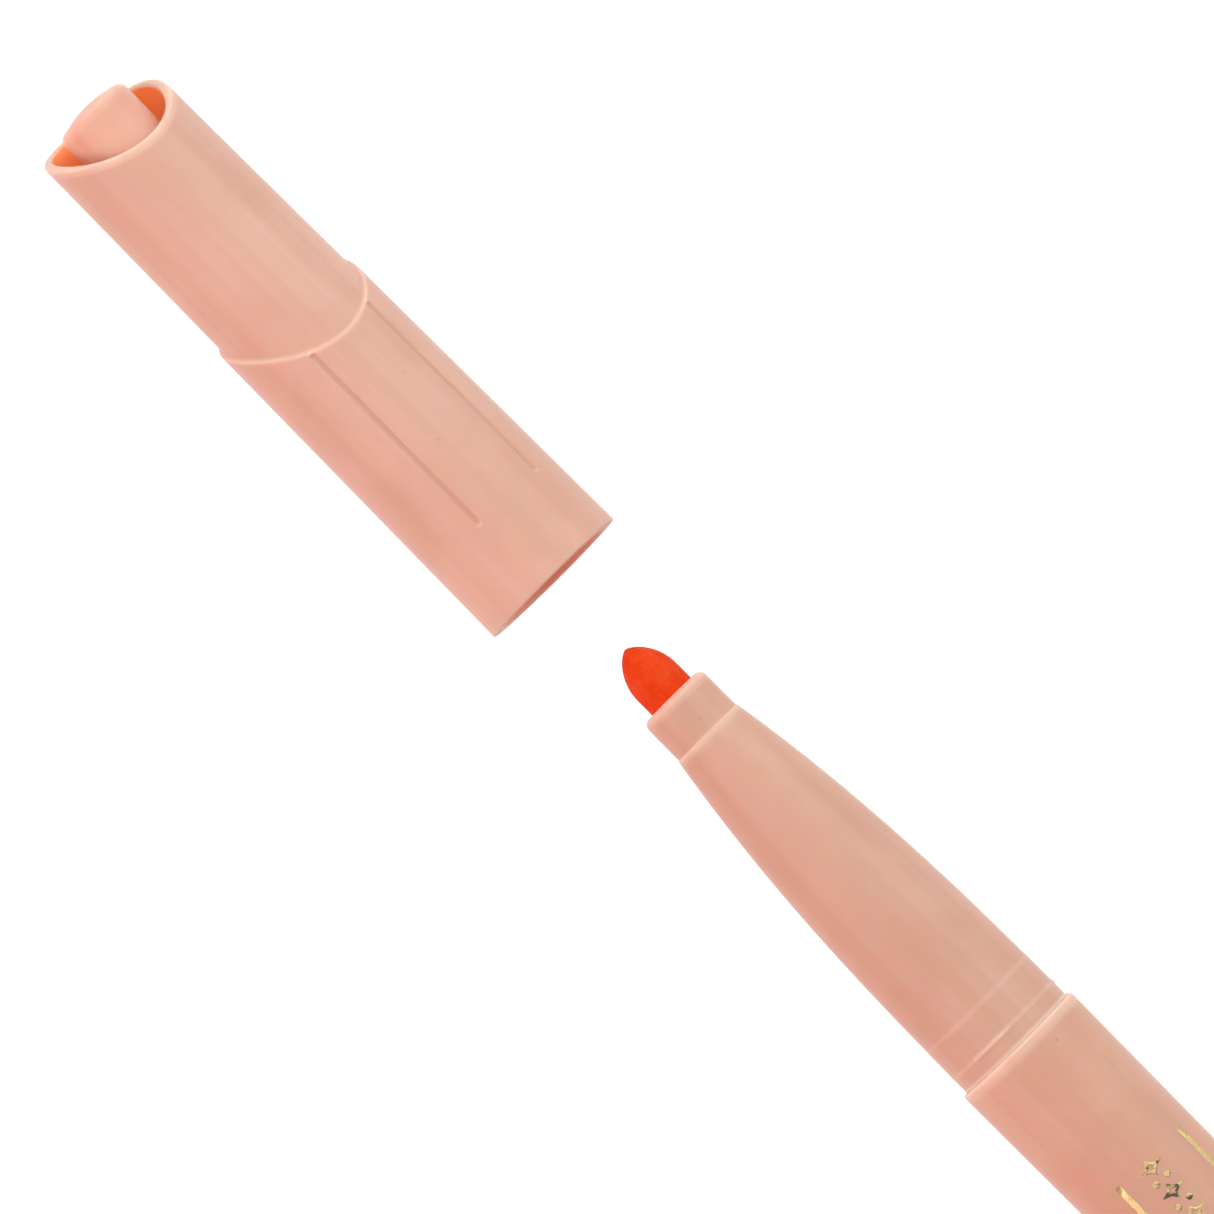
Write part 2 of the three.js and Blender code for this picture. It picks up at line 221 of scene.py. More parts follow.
# Spacing of the points on walls, and the length of the small cuts that keep corners sharp.
FINE = 0.06
CLOSE = 0.3
EVEN = 0.6
WIDE = 0.8
LONG = 1.5
CORNER = 0.1
CREASE = 0.01


def arc(centre, size, start, end, steps=6):
    """Points of a round, from angle start to angle end in degrees, where 0 is +X and 90 is outwards."""
    angles = np.radians(np.linspace(start, end, steps + 1))
    return [(centre[0] + size * math.cos(a), centre[1] + size * math.sin(a)) for a in angles]


def line(start, end, spacing):
    """Evenly spaced points of a straight stretch, without its last point. A long stretch gets one more
    point near each end, where the painted highlight of an edge fades out."""
    length = math.dist(start, end)
    steps = max(1, math.ceil(length / spacing))
    shares = np.arange(steps) / steps
    if length > 3 * EDGE_REACH:
        shares = np.union1d(shares, (EDGE_REACH / length, 1 - EDGE_REACH / length))
    return [tuple(np.add(start, np.subtract(end, start) * share)) for share in shares]


def smooth(share):
    """Eases a share in and out, and holds it between 0 and 1."""
    share = np.clip(share, 0, 1)
    return share * share * (3 - 2 * share)


def share_between(value, start, end):
    return smooth((value - start) / (end - start))


def on_axis(along, radius, angle):
    """The row-frame point, in metres, at that place round the pen's axis. along is from the origin."""
    turn = np.radians(angle)
    x = along * MM
    y = -radius * np.sin(turn) * MM
    z = (AXIS_HEIGHT + radius * np.cos(turn)) * MM
    return np.stack(np.broadcast_arrays(x, y, z), axis=-1)


def make_piece(name, vertices, faces, edge=None):
    """A smooth-shaded object of that mesh, without vertices that no face uses. edge says how near each
    vertex is to a convex edge, where the materials paint a pale highlight."""
    mesh = bpy.data.meshes.new(name)
    mesh.from_pydata(vertices.tolist(), [], faces)
    mesh.validate()
    if edge is not None:
        mesh.attributes.new("edge", "FLOAT", "POINT").data.foreach_set("value", edge.ravel())
    work = bmesh.new()
    work.from_mesh(mesh)
    loose = [vertex for vertex in work.verts if not vertex.link_faces]
    bmesh.ops.delete(work, geom=loose, context="VERTS")
    work.to_mesh(mesh)
    work.free()
    mesh.shade_smooth()
    piece = bpy.data.objects.new(name, mesh)
    bpy.context.scene.collection.objects.link(piece)
    return piece


def edge_nearness(along, radius, closed):
    """0 away from edges and 1 at a convex edge that turns by EDGE_TURN or more within EDGE_REACH."""
    step_along = np.diff(along, axis=0, append=along[:1])
    step_radius = np.diff(radius, axis=0, append=radius[:1])
    heading = np.arctan2(step_radius, step_along)
    turn = (np.roll(heading, 1, axis=0) - heading + np.pi) % (2 * np.pi) - np.pi
    if not closed:
        turn[[0, -1]] = 0
    # A row is taken to be where the next row is, so the painted highlight reaches one row further back.
    walked = np.cumsum(np.hypot(step_along, step_radius)[:, 0])
    apart = np.abs(walked[:, None] - walked[None, :])
    near = np.clip(1 - apart / EDGE_REACH, 0, 1)
    convex = near @ np.clip(np.degrees(turn), 0, None)
    return np.clip(convex / EDGE_TURN, 0, 1)


def turned(name, datum, outline, angles=ROUND, reshape=None, closed=False):
    """A mesh turned about the pen's axis from (along, radius) points, its outside walls running to +X.
    reshape(along, radius, angle) may move the points of each angle. An open outline starts and ends
    on the axis. A closed one joins its last point to its first."""
    along, radius = np.array(outline, float).T
    grid_along = np.repeat(along[:, None], len(angles), axis=1)
    grid_radius = np.repeat(radius[:, None], len(angles), axis=1)
    if reshape:
        grid_along, grid_radius = reshape(grid_along, grid_radius, angles[None, :])
    rows, count = grid_along.shape
    vertices = on_axis(datum + grid_along, grid_radius, angles[None, :]).reshape(-1, 3)
    number = np.arange(rows * count).reshape(rows, count)
    if not closed:
        number[0, :] = number[0, 0]
        number[-1, :] = number[-1, 0]
    faces = []
    for i in range(rows if closed else rows - 1):
        here = number[i]
        there = number[(i + 1) % rows]
        for j in range(count):
            k = (j + 1) % count
            corners = dict.fromkeys((here[j], here[k], there[k], there[j]))
            faces.append([int(corner) for corner in corners])
    edge = edge_nearness(grid_along, grid_radius, closed)
    return make_piece(name, vertices, faces, edge)


def angle_from(angle, centre):
    """Signed degrees from centre to angle."""
    return (angle - centre + 180) % 360 - 180


def nearest_turn(angle, count):
    """Signed degrees to an angle from the nearest of that many even places, the first of them at 0."""
    spacing = 360 / count
    return (angle + spacing / 2) % spacing - spacing / 2


# ---------------------------------------------------------------- cap


def sleeve_radius(along):
    return CAP_MOUTH_RADIUS - CAP_DRAFT * along


def upper_radius(along):
    return sleeve_radius(along) - CAP_STEP


def cut_shift(cut, angle):
    v = np.cos(np.radians(angle - CAP_FRONT_ANGLE))
    return -cut["tilt"] * v - cut["bow"] * v * v


def cap_angles():
    """Even angles, with closer ones across each groove."""
    fans = [CAP_FRONT_ANGLE + groove + GROOVE_FAN for groove in GROOVE_ANGLES]
    return np.unique(np.round(np.concatenate([ROUND, *fans]) % 360, 3))


def groove_depth(along, radius, angle):
    """Depth of the two engraved lines, which have round ends and a round bottom."""
    depth = np.zeros_like(along)
    half = GROOVE_WIDTH / 2
    for groove in GROOVE_ANGLES:
        centre = CAP_FRONT_ANGLE + groove
        end = SHOULDER["height"] + cut_shift(SHOULDER, centre) - GROOVE_LAND
        aside = np.radians(angle_from(angle, centre)) * radius
        past = along - np.clip(along, GROOVE_START + half, end - half)
        away = np.hypot(aside, past) / half
        depth = np.maximum(depth, GROOVE_DEPTH * (1 - smooth((away - GROOVE_FLAT) / GROOVE_SLOPE)))
    return depth


def witness_height(along, radius, angle):
    """Height of the faint raised lines near the mouth."""
    height = np.zeros_like(along)
    for centre, start, end in WITNESS_LINES:
        aside = np.abs(np.radians(angle_from(angle, centre)) * radius)
        past = np.abs(along - np.clip(along, start, end))
        ridge = (1 - smooth(aside / WITNESS_WIDTH)) * (1 - smooth(past))
        height = np.maximum(height, WITNESS_HEIGHT * ridge)
    return height


def cap_shell():
    rim = RIM["height"]
    step_start = SHOULDER["height"] - SHOULDER_RUN / 2
    step_end = SHOULDER["height"] + SHOULDER_RUN / 2
    bore = FLANGE_RADIUS - FLANGE_OVERLAP
    flange_bore = FLANGE_RADIUS + GAP
    seat = LINER_START + FLANGE_THICKNESS + GAP
    wall_middle = (upper_radius(rim) + bore) / 2
    edge = min(RIM_EDGE, wall_middle - bore)

    def sleeve_line(start, end, spacing):
        return line((start, sleeve_radius(start)), (end, sleeve_radius(end)), spacing)

    fine_start = GROOVE_START - FINE_REACH
    fine_end = GROOVE_START + FINE_REACH
    ridge = step_start - FINE_REACH
    outline = [
        *arc((CAP_EDGE, CAP_MOUTH_RADIUS - CAP_EDGE), CAP_EDGE, 180, 90),
        *sleeve_line(CAP_EDGE + CORNER, fine_start, EVEN),
        *sleeve_line(fine_start, fine_end, FINE),
        *sleeve_line(fine_end, ridge, EVEN),
        *sleeve_line(ridge, step_start, FINE),
    ]
    for share in np.linspace(0, 1, 12):
        place = step_start + SHOULDER_RUN * share
        outline.append((place, sleeve_radius(place) - CAP_STEP * smooth(share)))
    above_step = step_end + SHOULDER_FOOT
    outline += [
        *line((above_step, upper_radius(above_step)), (rim - edge, upper_radius(rim)), EVEN),
        *arc((rim - edge, upper_radius(rim) - edge), edge, 90, 0),
    ]
    outer_count = len(outline)
    narrow = CAP_BORE_RADIUS - CAP_SNAP_LIP
    flange_seat_end = LINER_START - FLANGE_THICKNESS
    land_start = 2 * CAP_BORE_EDGE
    outline += [
        *arc((rim - edge, bore + edge), edge, 0, -90),
        *line((rim - edge - CORNER, bore), (seat, bore), EVEN),
        *line((seat, bore), (seat, flange_bore), FINE),
        *line((seat, flange_bore), (flange_seat_end, flange_bore), EVEN),
        *line((flange_seat_end, flange_bore), (CAP_BORE_LAND + CAP_SNAP_RUN, narrow), EVEN),
        *line((CAP_BORE_LAND, CAP_BORE_RADIUS), (land_start, CAP_BORE_RADIUS), CLOSE),
        *arc((CAP_BORE_EDGE, CAP_BORE_RADIUS + CAP_BORE_EDGE), CAP_BORE_EDGE, -90, -180),
    ]
    index = np.arange(len(outline))[:, None]

    def reshape(along, radius, angle):
        """Slants the rows towards each oblique cut, and adds the grooves and witness lines."""
        to_shoulder = share_between(along, SLEEVE_STRAIGHT, ridge)
        to_rim = share_between(along, step_end + CUT_MARGIN, rim - CUT_MARGIN)
        to_rim_inside = share_between(along, seat + CUT_MARGIN, rim - CUT_MARGIN)
        below_rim = cut_shift(SHOULDER, angle) * to_shoulder * (1 - to_rim)
        outer = below_rim + cut_shift(RIM, angle) * to_rim
        inner = cut_shift(RIM, angle) * to_rim_inside
        is_outer = index < outer_count
        shift = np.where(is_outer, outer, inner)
        moved = along + shift
        radius = radius - CAP_DRAFT * np.where(is_outer, shift, 0)
        relief = witness_height(moved, radius, angle) - groove_depth(moved, radius, angle)
        return moved, radius + np.where(is_outer, relief, 0)

    return turned("cap_shell_skin", MOUTH, outline, cap_angles(), reshape, closed=True)


def mark_cap_highlight_and_shade(piece):
    """Gives the engraved lines a negative edge value, so that the plastic is painted darker in them as
    shade, and takes the painted edge highlight away from the outside of the mouth."""
    vertices = piece.data.vertices
    places = np.empty(len(vertices) * 3)
    vertices.foreach_get("co", places)
    x, y, z = places.reshape(-1, 3).T / MM
    z = z - AXIS_HEIGHT
    radius = np.hypot(y, z)
    angle = np.degrees(np.arctan2(-y, z))
    share = groove_depth(x - MOUTH, radius, angle) / GROOVE_DEPTH
    is_outside = radius > (CAP_BORE_RADIUS + CAP_MOUTH_RADIUS) / 2
    stored = piece.data.attributes["edge"].data
    edge = np.empty(len(vertices))
    stored.foreach_get("value", edge)
    is_mouth = is_outside & (x - MOUTH < 2 * EDGE_REACH)
    edge[is_mouth] = 0
    stored.foreach_set("value", np.where(is_outside & (share > 0), -share, edge))


def line_bore(piece):
    """Gives the faces that look at the pen's axis the piece's second material, a deeper orange, glowing
    copy of the plastic that paints in light shining through the thin walls.
    """
    for face in piece.data.polygons:
        outward = Vector((0, face.center.y, face.center.z - AXIS_HEIGHT * MM)).normalized()
        if outward.dot(face.normal) < INWARD:
            face.material_index = 1


def cap_liner():
    seal_end = LINER_START + LINER_SEAL_LENGTH
    seal_bore = COLLAR_RADIUS + GAP
    seal_outer = seal_bore + LINER_WALL
    ceiling = CAP_LENGTH - LINER_END_THICKNESS
    lead_in = LINER_START + LINER_LEAD_IN
    flange_end = LINER_START + FLANGE_THICKNESS
    flange_top = flange_end - FLANGE_EDGE
    flange_middle = FLANGE_RADIUS - FLANGE_EDGE
    dome_radius = LINER_RADIUS - LINER_EDGE
    dome_edge = CAP_LENGTH - LINER_DOME
    taper_end = seal_end + LINER_END_THICKNESS
    outline = [
        (ceiling, 0),
        *line((ceiling, CLOSE), (ceiling, LINER_BORE_RADIUS - LINER_FILLET), EVEN),
        *line((ceiling - LINER_FILLET, LINER_BORE_RADIUS), (seal_end, LINER_BORE_RADIUS), EVEN),
        *line((seal_end, LINER_BORE_RADIUS), (seal_end, seal_bore), FINE),
        *line((seal_end - CORNER, seal_bore), (lead_in, seal_bore), EVEN),
        *line((lead_in, seal_bore), (LINER_START, seal_bore + LINER_LEAD_IN), CLOSE),
        *line((LINER_START, seal_bore + LINER_LEAD_IN), (LINER_START, flange_middle), CLOSE),
        *arc((LINER_START + FLANGE_EDGE, flange_middle), FLANGE_EDGE, 180, 90, 4),
        *line((LINER_START + 2 * FLANGE_EDGE, FLANGE_RADIUS), (flange_top, FLANGE_RADIUS), CLOSE),
        *arc((flange_top, flange_middle), FLANGE_EDGE, 90, 0, 4),
        *line((flange_end, flange_middle - CORNER), (flange_end, seal_outer + LINER_FILLET), CLOSE),
        *arc((flange_end + LINER_FILLET, seal_outer + LINER_FILLET), LINER_FILLET, 180, 270, 4),
        *line((flange_end + 2 * LINER_FILLET, seal_outer), (seal_end, seal_outer), EVEN),
        *line((seal_end, seal_outer), (taper_end, LINER_RADIUS), CLOSE),
        *line((taper_end, LINER_RADIUS), (dome_edge - LINER_EDGE, LINER_RADIUS), EVEN),
        *arc((dome_edge - LINER_EDGE, dome_radius), LINER_EDGE, 90, 0, 12),
    ]
    for share in np.linspace(1, 0, 9)[1:]:
        outline.append((CAP_LENGTH - LINER_DOME * share * share, dome_radius * share))

    def reshape(along, radius, angle):
        """Cuts the air vents, which are flat-bottomed slots across the flange's edge."""
        turn = np.radians(nearest_turn(angle, VENT_COUNT))
        in_vent = np.abs(FLANGE_RADIUS * np.sin(turn)) < VENT_WIDTH / 2
        vent_floor = (FLANGE_RADIUS - VENT_DEPTH) / np.cos(turn)
        in_flange = (along < flange_end + CREASE) & (radius > seal_outer)
        return along, np.where(in_vent & in_flange, np.minimum(radius, vent_floor), radius)

    return turned("cap_liner_skin", MOUTH, outline, ROUND, reshape)


# ---------------------------------------------------------------- pen


def grip_radius(along):
    nose = SECTION_LENGTH - COLLAR_LENGTH
    fall = (np.maximum(along, 0) / nose) ** SECTION_CURVE
    return SECTION_REAR_RADIUS - (SECTION_REAR_RADIUS - SECTION_NOSE_RADIUS) * fall


def section_relief(along, angle):
    """The snap bead with its lugs, and the fine step in front of it."""
    bead = 1 - smooth(np.abs(along - BEAD_PLACE) / (BEAD_WIDTH / 2))
    turn = np.abs(nearest_turn(angle - LUG_ANGLE, LUG_COUNT))
    lug = 1 - smooth((turn - LUG_HALF_SPAN) / LUG_FADE + 0.5)
    step = smooth((along - RING_PLACE) / RING_RUN + 0.5)
    return bead * (BEAD_HEIGHT + LUG_HEIGHT * lug) - RING_STEP * step


def front_section():
    nose = SECTION_LENGTH - COLLAR_LENGTH
    nib_bore = NIB_RADIUS + GAP
    core_bore = CORE_RADIUS + SLEEVE_THICKNESS + 2 * GAP
    core_stop = CORE_FRONT + CORE_STOP["gap"]
    stop_radius = core_bore - CORE_STOP["depth"]
    channel_end = SECTION_LENGTH - AIR_CHANNEL["front_land"]
    hollow_start = NIB_SEAT_START - NIB_SEAT_ROOM
    step_start = nose - COLLAR_STEP_RUN
    fine_places = np.arange(FINE, GRIP_FINE_END, FINE)
    even_places = np.arange(GRIP_FINE_END, step_start - CORNER, GRIP_SPACING)
    outline = [
        *arc((-PLUG_LENGTH + PLUG_EDGE, PLUG_RADIUS - PLUG_EDGE), PLUG_EDGE, 180, 90, 4),
        *line((-PLUG_LENGTH + 2 * PLUG_EDGE, PLUG_RADIUS), (0, PLUG_RADIUS), EVEN),
        (0, PLUG_RADIUS + CORNER),
        (0, SECTION_REAR_RADIUS - CREASE),
        (CREASE, SECTION_REAR_RADIUS),
    ]
    plug_count = len(outline)
    outline += [
        *[(along, grip_radius(along)) for along in (*fine_places, *even_places, step_start)],
        (nose - COLLAR_STEP_MIDDLE, (SECTION_NOSE_RADIUS + COLLAR_RADIUS) / 2),
    ]
    grip_count = len(outline)
    outline += [
        *line((nose, COLLAR_RADIUS), (SECTION_LENGTH - COLLAR_EDGE, COLLAR_RADIUS), CLOSE),
        *arc((SECTION_LENGTH - COLLAR_EDGE, COLLAR_RADIUS - COLLAR_EDGE), COLLAR_EDGE, 90, 0, 12),
        (SECTION_LENGTH, nib_bore + CORNER),
        (SECTION_LENGTH - CORNER, nib_bore),
    ]
    bore_start = len(outline)
    outline += [
        *line((SECTION_LENGTH - CLOSE, nib_bore), (channel_end, nib_bore), EVEN),
        *line((channel_end, nib_bore), (NIB_SEAT_START, nib_bore), EVEN),
        *line((NIB_SEAT_START, nib_bore), (hollow_start, nib_bore + NIB_SEAT_ROOM), CLOSE),
        *line((hollow_start, nib_bore + NIB_SEAT_ROOM), GRIP_HOLLOW, EVEN),
        *line(GRIP_HOLLOW, (core_stop, stop_radius), EVEN),
        *line((core_stop, stop_radius), (core_stop, core_bore), FINE),
        *line((core_stop, core_bore), (-PLUG_LENGTH, core_bore), EVEN),
    ]
    index = np.arange(len(outline))[:, None]

    def reshape(along, radius, angle):
        """Adds the bead and the ring to the grip, and cuts the air channels beside the nib."""
        is_grip = (index >= plug_count) & (index < grip_count)
        radius = radius + np.where(is_grip, section_relief(along, angle), 0)
        turn = np.radians(nearest_turn(angle, AIR_CHANNEL["count"]))
        channel_floor = (nib_bore + AIR_CHANNEL["depth"]) / np.cos(turn)
        in_channel = np.abs(nib_bore * np.sin(turn)) < AIR_CHANNEL["width"] / 2
        in_seat = (index >= bore_start) & (along > hollow_start) & (along < channel_end)
        return along, np.where(in_channel & in_seat, np.maximum(radius, channel_floor), radius)

    return turned("front_section_skin", LIP, outline, ROUND, reshape, closed=True)


def barrel_bore():
    return CORE_RADIUS + SLEEVE_THICKNESS + 3 * GAP


def barrel_floor():
    return -BARREL_LENGTH + TAIL_THICKNESS


def barrel():
    tail = -BARREL_LENGTH
    tail_radius = BARREL_RADIUS + BARREL_DRAFT * tail
    lip_start = -BARREL_LIP_EDGE
    plug_bore = PLUG_RADIUS + GAP
    narrow_bore = plug_bore - BORE_STEP["depth"]
    floor = barrel_floor()
    core_bore = barrel_bore()
    edge = BARREL_TAIL_EDGE
    floor_edge = BARREL_FLOOR_EDGE
    outline = [
        (tail, 0),
        *line((tail, CLOSE), (tail, tail_radius - edge), EVEN),
        *arc((tail + edge, tail_radius - edge), edge, 180, 90, 12),
        *line((tail + edge + CLOSE, tail_radius), (lip_start, BARREL_RADIUS), WIDE),
        *arc((lip_start, BARREL_RADIUS - BARREL_LIP_EDGE), BARREL_LIP_EDGE, 90, 0, 10),
        (0, BARREL_RADIUS - BARREL_LIP_EDGE - CREASE),
        (0, plug_bore + BARREL_BORE_CHAMFER),
        (-BARREL_BORE_CHAMFER, plug_bore),
        *line((-CLOSE, plug_bore), (BORE_STEP["start"], plug_bore), EVEN),
        *line((BORE_STEP["start"], plug_bore), (BORE_STEP["end"], narrow_bore), CLOSE),
        *line((BORE_STEP["end"], narrow_bore), (floor + floor_edge, core_bore), EVEN),
        *arc((floor + floor_edge, core_bore - floor_edge), floor_edge, 90, 180, 4),
        *line((floor, core_bore - floor_edge - CORNER), (floor, CLOSE), EVEN),
        (floor, 0),
    ]
    return turned("barrel_skin", LIP, outline, ROUND)


def tail_ribs():
    """The cross of ribs on the barrel's floor, which keeps the ink core off the closed end."""
    half = TAIL_RIB_THICKNESS / 2
    sunk = half / 2                     # the ribs reach this far into the wall and the floor
    reach = barrel_bore() + sunk
    corner = [(reach, -half), (reach, half), (half, half)]
    outline = []
    for quarter in range(4):
        turn = math.pi / 2 * quarter
        for y, z in corner:
            across = y * math.cos(turn) - z * math.sin(turn)
            up = y * math.sin(turn) + z * math.cos(turn)
            outline.append((across, AXIS_HEIGHT + up))
    start = (LIP + barrel_floor() - sunk) * MM
    work = bmesh.new()
    base = work.faces.new([work.verts.new((start, y * MM, z * MM)) for y, z in outline])
    grown = bmesh.ops.extrude_face_region(work, geom=[base])
    top = [item for item in grown["geom"] if isinstance(item, bmesh.types.BMVert)]
    bmesh.ops.translate(work, verts=top, vec=(TAIL_RIB_LENGTH * MM, 0, 0))
    bmesh.ops.recalc_face_normals(work, faces=work.faces)
    bmesh.ops.bevel(work, geom=work.edges[:], offset=sunk / 2 * MM, segments=2, affect="EDGES")
    mesh = bpy.data.meshes.new("barrel_tail_ribs")
    work.to_mesh(mesh)
    work.free()
    piece = bpy.data.objects.new("barrel_tail_ribs", mesh)
    bpy.context.scene.collection.objects.link(piece)
    return piece


def nib():
    point_start = NIB_TIP - NIB_POINT_LENGTH
    outline = [
        (NIB_TAIL, 0),
        (NIB_TAIL, NIB_RADIUS - NIB_TAIL_CHAMFER),
        (NIB_TAIL + NIB_TAIL_CHAMFER, NIB_RADIUS),
        *line((NIB_TAIL + 2 * NIB_TAIL_CHAMFER, NIB_RADIUS), (point_start - CORNER, NIB_RADIUS), CLOSE),
    ]
    for share in np.linspace(1, 0, NIB_POINT_ROWS):
        to_tip = share ** NIB_ROW_CROWDING
        rise = 1 - (1 - to_tip) ** 2
        outline.append((NIB_TIP - NIB_POINT_LENGTH * to_tip, NIB_RADIUS * rise ** NIB_POINT_FULLNESS))
    return turned("nib_felt", LIP, outline, ROUND)


def ink_core():
    pocket_floor = NIB_TAIL - GAP
    pocket_radius = NIB_RADIUS + GAP
    inside_edge = CORE_RADIUS - CORE_EDGE
    rear = CORE_REAR + CORE_EDGE
    front = CORE_FRONT - CORE_EDGE
    outline = [
        (CORE_REAR, 0),
        *line((CORE_REAR, CLOSE), (CORE_REAR, inside_edge), EVEN),
        *arc((rear, inside_edge), CORE_EDGE, 180, 90, 4),
        *line((rear + EVEN, CORE_RADIUS), (front, CORE_RADIUS), LONG),
        *arc((front, inside_edge), CORE_EDGE, 90, 0, 4),
        *line((CORE_FRONT, inside_edge - CORNER), (CORE_FRONT, pocket_radius), CLOSE),
        *line((CORE_FRONT, pocket_radius), (pocket_floor, pocket_radius), EVEN),
        *line((pocket_floor, pocket_radius), (pocket_floor, CLOSE), EVEN),
        (pocket_floor, 0),
    ]
    return turned("ink_core_fibre", LIP, outline, ROUND[::2])


def core_sleeve():
    inner = SLEEVE_RADIUS - SLEEVE_THICKNESS
    outline = [
        *line((SLEEVE_REAR, inner), (SLEEVE_REAR, SLEEVE_RADIUS), FINE),
        *line((SLEEVE_REAR, SLEEVE_RADIUS), (SLEEVE_FRONT, SLEEVE_RADIUS), LONG),
        *line((SLEEVE_FRONT, SLEEVE_RADIUS), (SLEEVE_FRONT, inner), FINE),
        *line((SLEEVE_FRONT, inner), (SLEEVE_REAR, inner), LONG),
    ]
    return turned("core_sleeve_film", LIP, outline, ROUND[::2], closed=True)


# ---------------------------------------------------------------- foil print


def stadium(length, width, steps=6):
    """A round-ended strip, as (along, across) points about its own middle."""
    reach = (length - width) / 2
    half = width / 2
    front = [(reach + x, y) for x, y in arc((0, 0), half, -90, 90, steps)]
    return front + [(-x, -y) for x, y in front]


def circle(radius, steps=20):
    return arc((0, 0), radius, 0, 360, steps)[:-1]


def lozenge(length, width):
    """A diamond with slightly hollow sides."""
    corners = [(length / 2, 0), (0, width / 2), (-length / 2, 0), (0, -width / 2)]
    outline = []
    for start, end in zip(corners, corners[1:] + corners[:1]):
        for share in np.linspace(0, 1, 6)[:-1]:
            hollow = 1 - LOZENGE_HOLLOW * math.sin(math.pi * share)
            point = np.add(start, np.subtract(end, start) * share) * hollow
            outline.append(tuple(point))
    return outline


def foil_print(name, marks):
    """One mesh of raised foil on the barrel. A mark is (place along, angle, outline, heart): heart is
    the share of the outline left open in the middle, or 0 for a filled mark."""
    vertices = []
    faces = []
    for place, centre, outline, heart in marks:
        shares = [1, 1, *np.linspace(1 - FOIL_BEVEL, max(heart, FOIL_CENTRE), FOIL_ROWS)]
        heights = [-FOIL_ROOT, 0, *[FOIL_HEIGHT] * FOIL_ROWS]
        if heart:
            shares += [heart * (1 - FOIL_HEART_BEVEL)]
            heights += [-FOIL_ROOT]
        first = len(vertices)
        count = len(outline)
        for share, height in zip(shares, heights):
            for along, across in outline:
                surface = BARREL_RADIUS + BARREL_DRAFT * (place + along * share)
                angle = centre - math.degrees(across * share / surface)
                vertices.append(on_axis(LIP + place + along * share, surface + height, angle))
        for ring in range(len(shares) - 1):
            for j in range(count):
                k = (j + 1) % count
                here = first + ring * count
                there = here + count
                faces.append([here + j, here + k, there + k, there + j])
        inner = first + (len(shares) - 1) * count
        if heart:
            for j in range(count):
                k = (j + 1) % count
                faces.append([inner + j, inner + k, first + k, first + j])
        else:
            faces.append([inner + j for j in range(count)])
            faces.append([first + j for j in reversed(range(count))])
    return make_piece(name, np.array(vertices), faces)


def foil_stripes():
    middle = PRINT_START - STRIPE_LENGTH / 2
    strip = stadium(STRIPE_LENGTH, STRIPE_WIDTH)
    return foil_print("foil_stripes", [(middle, angle, strip, 0) for angle in STRIPE_ANGLES])


def foil_ornament():
    """A row of open lozenges with a pair of dots between each two."""
    diamond = lozenge(*LOZENGE)
    dot = circle(DOT_RADIUS)
    spread = math.degrees(DOT_SPREAD / BARREL_RADIUS)
    marks = []
    for i in range(ORNAMENT_COUNT):
        place = PRINT_START - LOZENGE[0] / 2 - ORNAMENT_PITCH * i
        marks.append((place, ORNAMENT_ANGLE, diamond, LOZENGE_HEART))
        if i < ORNAMENT_COUNT - 1:
            between = place - ORNAMENT_PITCH / 2
            marks += [(between, ORNAMENT_ANGLE + side * spread, dot, 0) for side in (-1, 1)]
    return foil_print("foil_ornament", marks)


# ---------------------------------------------------------------- material tools


def feed(tree, value, socket):
    """Links value to the socket, or sets it there if it's a plain number or colour."""
    if isinstance(value, bpy.types.NodeSocket):
        tree.links.new(value, socket)
    elif socket.type == "RGBA":
        socket.default_value = (*value, 1)
    else:
        socket.default_value = value


def add_node(tree, kind, inputs, **settings):
    made = tree.nodes.new("ShaderNode" + kind)
    for name, value in settings.items():
        setattr(made, name, value)
    for name, value in inputs.items():
        feed(tree, value, made.inputs[name])
    return made


def new_material(name, constants):
    material = bpy.data.materials.new(name)
    material.use_nodes = True
    shader = material.node_tree.nodes["Principled BSDF"]
    for socket, value in constants.items():
        feed(material.node_tree, value, shader.inputs[socket])
    return material, material.node_tree, shader


def place_in_mm(tree, stretch=(1, 1, 1), offset=0):
    """The object's own coordinates in millimetres. A stretch below 1 draws a pattern out that way."""
    own = add_node(tree, "TexCoord", {}).outputs["Object"]
    scale = tuple(share / MM for share in stretch)
    in_mm = add_node(tree, "VectorMath", {0: own, 1: scale}, operation="MULTIPLY").outputs[0]
    return add_node(tree, "VectorMath", {0: in_mm, 1: (offset,) * 3}, operation="ADD").outputs[0]


def noise(tree, place, per_mm, detail=2, roughness=0.5):
    """A soft random pattern between 0 and 1, mostly near 0.5. per_mm is its fineness."""
    sockets = {"Vector": place, "Scale": per_mm, "Detail": detail, "Roughness": roughness}
    return add_node(tree, "TexNoise", sockets).outputs["Fac"]


def remap(tree, value, low_end, high_end, to_low=0.0, to_high=1.0):
    """Eases value's range from low_end to high_end into the range from to_low to to_high."""
    sockets = {
        "Value": value,
        "From Min": low_end,
        "From Max": high_end,
        "To Min": to_low,
        "To Max": to_high,
    }
    return add_node(tree, "MapRange", sockets, interpolation_type="SMOOTHSTEP").outputs["Result"]


def calculate(tree, operation, first, second):
    return add_node(tree, "Math", {0: first, 1: second}, operation=operation).outputs[0]


def scaled(tree, value, share):
    return calculate(tree, "MULTIPLY", value, share)


def blend(tree, share, first, second):
    """A colour between first and second."""
    mix = tree.nodes.new("ShaderNodeMix")
    mix.data_type = "RGBA"
    colours = [socket for socket in mix.inputs if socket.type == "RGBA"]
    feed(tree, share, mix.inputs["Factor"])
    feed(tree, first, colours[0])
    feed(tree, second, colours[1])
    return next(socket for socket in mix.outputs if socket.type == "RGBA")


